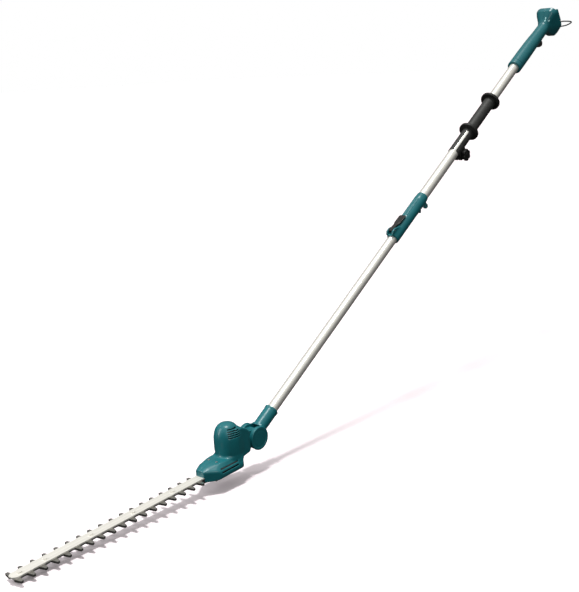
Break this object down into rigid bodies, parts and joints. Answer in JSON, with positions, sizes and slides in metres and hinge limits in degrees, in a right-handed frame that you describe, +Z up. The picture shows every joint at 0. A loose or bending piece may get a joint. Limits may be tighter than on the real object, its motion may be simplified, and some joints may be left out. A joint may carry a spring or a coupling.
{
  "type": "telescopic pole hedge trimmer",
  "caption": "Battery hedge trimmer on a telescopic pole: double-sided reciprocating blades on a tilting motor head, sliding front grip, rear handle with trigger.",
  "frame": {"origin": "middle of the rear hand grip on the pole axis, where the hand holds it", "axes": "+X forward along the blades, +Y to the user's left, +Z up; the pole rises backwards at 30 degrees"},
  "size_m": [2.1628, 0.0921, 0.921],
  "materials": {
    "teal_plastic": "semi-gloss moulded",
    "black_rubber": "matt",
    "black_plastic": "fine grain",
    "tube_alloy": "satin",
    "bar_steel": "satin",
    "blade_steel": "ground",
    "bright_steel": "zinc plated",
    "black_wire": "gloss",
    "cast_alloy": "as cast",
    "dark_magnet": "matt",
    "bush_brass": "satin",
    "board_green": "lacquered",
    "lens_clear": "clear"
  },
  "bodies": {
    "handle": {"handle_shell_left": "teal_plastic", "handle_shell_right": "teal_plastic", "handle_collar": "teal_plastic", "casing_screws": "bright_steel", "light_lenses": "lens_clear", "rear_plate": "teal_plastic", "terminal_block": "black_plastic", "control_board": "board_green", "switch_body": "black_plastic", "trigger_pin": "bright_steel", "trigger_spring": "bright_steel", "wire_loop": "black_wire", "loop_sockets": "black_plastic", "outer_tube": "tube_alloy", "clamp_shell_left": "teal_plastic", "clamp_shell_right": "teal_plastic", "slide_bush": "black_plastic", "clamp_band": "bright_steel", "lever_pin": "bright_steel", "strap_eye": "teal_plastic"},
    "trigger": {"trigger": "black_plastic"},
    "clamp_lever": {"cam_lever": "black_plastic"},
    "front_grip": {"lower_flange": "black_rubber", "upper_flange": "black_rubber", "grip_sleeve": "black_rubber", "grip_collar": "black_rubber", "grip_nut": "bright_steel"},
    "grip_knob": {"grip_knob": "black_plastic", "grip_bolt": "bright_steel"},
    "lower_pole": {"inner_tube": "tube_alloy", "tube_plug": "black_plastic", "pole_sleeve": "teal_plastic", "joint_disc_left": "teal_plastic", "joint_disc_right": "teal_plastic", "pivot_bolt": "bright_steel", "pivot_nut": "bright_steel", "lock_ring": "cast_alloy"},
    "head": {"head_shell_left": "teal_plastic", "head_shell_right": "teal_plastic", "head_screws": "bright_steel", "nose_screws": "bright_steel", "bottom_cover": "black_plastic", "nose_guard": "black_plastic", "motor_can": "bright_steel", "motor_magnets": "dark_magnet", "motor_end_cap": "black_plastic", "motor_bushes": "bush_brass", "crank_bearing": "bright_steel", "gear_case": "cast_alloy", "guide_bar": "bar_steel", "blade_bolts": "bright_steel", "blade_nuts": "bright_steel"},
    "armature": {"motor_shaft": "bright_steel", "motor_core": "dark_magnet", "motor_fan": "black_plastic", "motor_pinion": "bright_steel"},
    "crank": {"drive_gear": "bright_steel", "crankshaft": "bright_steel"},
    "upper_blade": {"upper_blade": "blade_steel"},
    "lower_blade": {"lower_blade": "blade_steel"}
  },
  "joints": [
    {"name": "telescope", "type": "slide", "parent": "handle", "child": "lower_pole", "axis": [-0.866, 0, 0.5], "range_m": [0, 0.5]},
    {"name": "head_tilt", "type": "hinge", "parent": "lower_pole", "child": "head", "pos_m": [1.32069, 0, -0.7625], "axis": [0, 1, 0], "range_deg": [-15, 100]},
    {"name": "gear_spin", "type": "hinge", "parent": "head", "child": "crank", "pos_m": [1.42849, 0, -0.7845], "axis": [0, 0, 1], "continuous": true},
    {"name": "motor_spin", "type": "hinge", "parent": "head", "child": "armature", "pos_m": [1.39969, 0, -0.7425], "axis": [0, 0, 1], "continuous": true},
    {"name": "upper_blade_stroke", "type": "slide", "parent": "head", "child": "upper_blade", "axis": [1, 0, 0], "range_m": [-0.007, 0.007]},
    {"name": "lower_blade_stroke", "type": "slide", "parent": "head", "child": "lower_blade", "axis": [1, 0, 0], "range_m": [-0.007, 0.007]},
    {"name": "lever_throw", "type": "hinge", "parent": "handle", "child": "clamp_lever", "pos_m": [0.74173, 0, -0.40329], "axis": [0, 1, 0], "range_deg": [0, 120]},
    {"name": "grip_slide", "type": "slide", "parent": "handle", "child": "front_grip", "axis": [0.866, 0, -0.5], "range_m": [-0.145, 0.17]},
    {"name": "knob_turn", "type": "hinge", "parent": "front_grip", "child": "grip_knob", "pos_m": [0.398, 0, -0.25865], "axis": [0, 1, 0], "range_deg": [0, 270]},
    {"name": "trigger_pull", "type": "hinge", "parent": "handle", "child": "trigger", "pos_m": [-0.03781, 0, 0.00451], "axis": [0, 1, 0], "range_deg": [0, 9], "stiffness_Nm_per_rad": 0.5, "springref_deg": -11.46, "deforming": ["trigger_spring"]}
  ],
  "couplings": [
    {"joint": "motor_spin", "follows": "gear_spin", "ratio": -5},
    {"joint": "lower_blade_stroke", "follows": "upper_blade_stroke", "ratio": -1}
  ]
}
